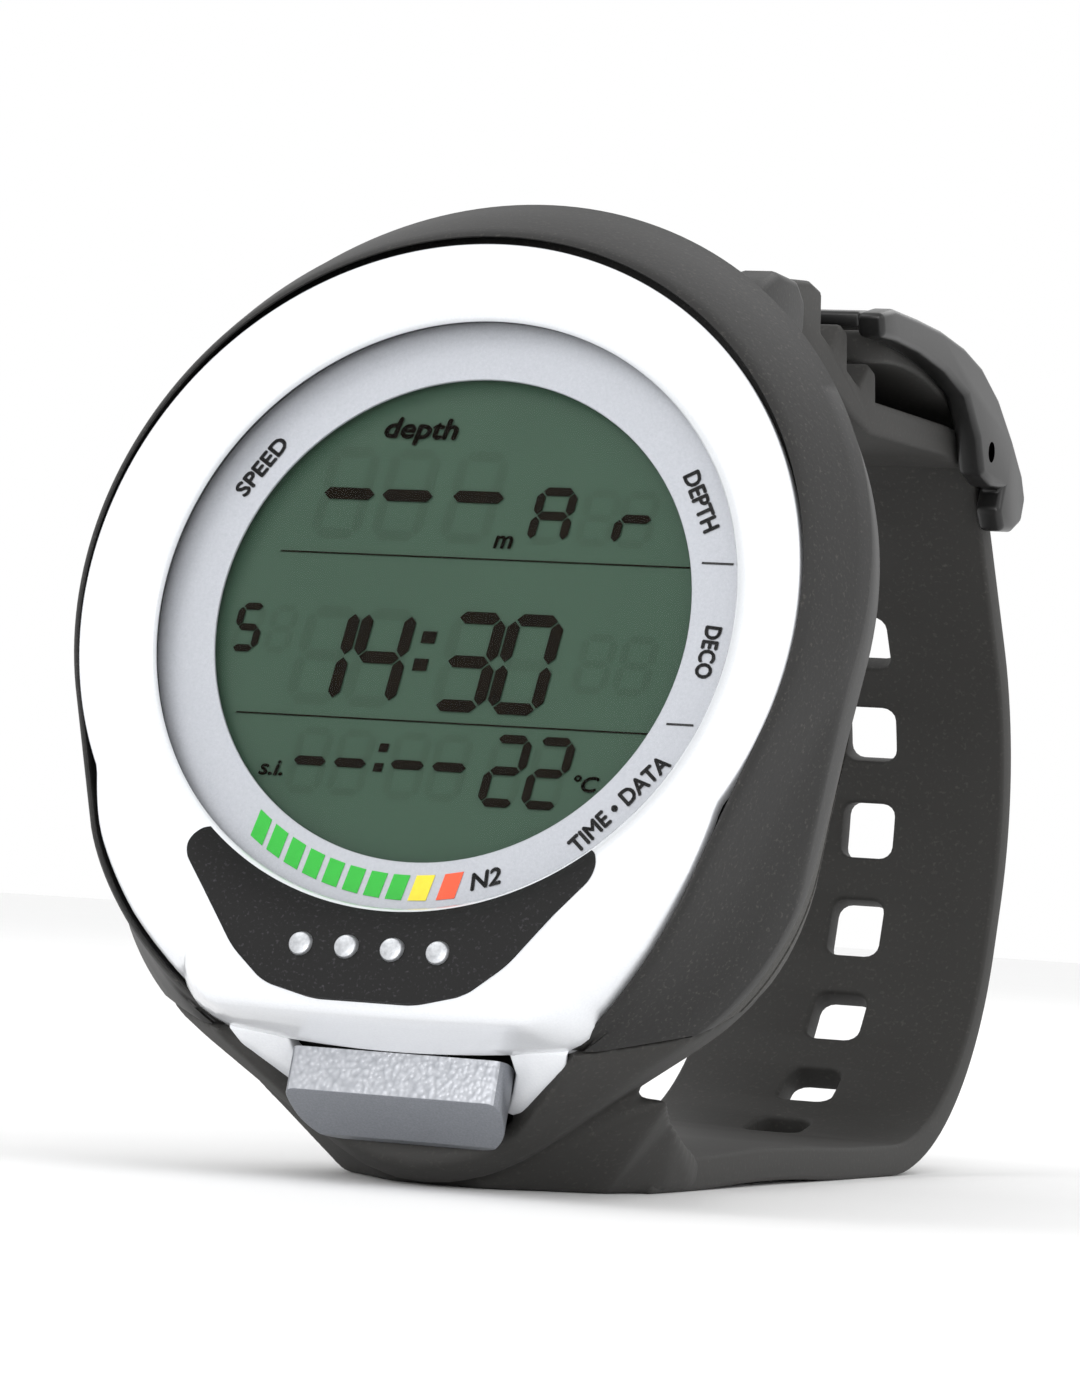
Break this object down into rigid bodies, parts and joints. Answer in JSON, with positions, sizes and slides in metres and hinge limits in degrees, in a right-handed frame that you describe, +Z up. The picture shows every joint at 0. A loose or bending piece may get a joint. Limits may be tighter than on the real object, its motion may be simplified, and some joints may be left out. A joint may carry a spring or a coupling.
{
  "type": "dive computer",
  "caption": "Wrist dive computer: round puck case with a white bezel, round display and bottom button, on a closed rubber strap with a bellows section and a pin buckle.",
  "frame": {"origin": "on the floor that the strap stands on, at the middle of the whole watch front to back and side to side", "axes": "+Z up, the display faces -Y and leans back by 15 degrees, +X to the wearer's right (3 o'clock)"},
  "size_m": [0.0688, 0.1274, 0.0829],
  "materials": {
    "case": "moulded, fine textured",
    "bezel": "moulded, glossy",
    "plate": "moulded, textured, with raised silver dots",
    "lens": "clear",
    "seal": "moulded",
    "dial": "satin silver print",
    "lcd": "liquid crystal glass with polariser",
    "guide": "frosted",
    "white_plastic": "moulded",
    "zebra": "layered silicone",
    "board": "solder mask on glass epoxy",
    "chips": "moulded epoxy",
    "steel": "turned",
    "button": "satin silver",
    "back": "moulded, textured",
    "cell": "nickel plated",
    "contact": "stamped, plated",
    "strap": "moulded, matte",
    "buckle": "moulded, smooth"
  },
  "bodies": {
    "watch": {"case_body": "case", "bezel": "bezel", "name_plate": "plate", "lens": "lens", "lens_seal": "seal", "mask_ring": "dial", "lcd_glass": "lcd", "light_guide": "guide", "lcd_frame": "white_plastic", "zebra_strips": "zebra", "circuit_board": "board", "board_chips": "chips", "tact_switch": "chips", "buzzer": "chips", "pressure_sensor": "steel", "sensor_seal": "seal", "port_filter": "steel", "button_spring": "steel", "back_cover": "back", "back_seal": "seal", "back_screws": "steel", "data_contacts": "steel", "battery": "cell", "battery_plus": "contact", "battery_minus": "contact", "long_strap": "strap", "short_strap": "strap", "lower_pin": "steel", "upper_pin": "steel"},
    "button": {"button_cap": "button", "button_rod": "steel", "button_seal": "seal", "button_clip": "steel"},
    "battery_cap": {"battery_cover": "back", "battery_seal": "seal"},
    "buckle": {"buckle_frame": "buckle", "buckle_pin": "steel"},
    "tongue": {"buckle_tongue": "buckle"}
  },
  "joints": [
    {"name": "button_press", "type": "slide", "parent": "watch", "child": "button", "axis": [0, 0.2588, 0.9659], "range_m": [0, 0.001], "stiffness_N_per_m": 2500, "springref_m": -0.0008, "deforming": ["button_spring"]},
    {"name": "battery_cap_turn", "type": "hinge", "parent": "watch", "child": "battery_cap", "pos_m": [0, -0.03301, 0.04214], "axis": [0, -0.9659, 0.2588], "range_deg": [0, 60]},
    {"name": "buckle_pivot", "type": "hinge", "parent": "watch", "child": "buckle", "pos_m": [0, 0.04066, 0.06982], "axis": [1, 0, 0], "range_deg": [0, 3]},
    {"name": "tongue_pivot", "type": "hinge", "parent": "buckle", "child": "tongue", "pos_m": [0, 0.04066, 0.06982], "axis": [1, 0, 0], "range_deg": [0, 5]}
  ]
}
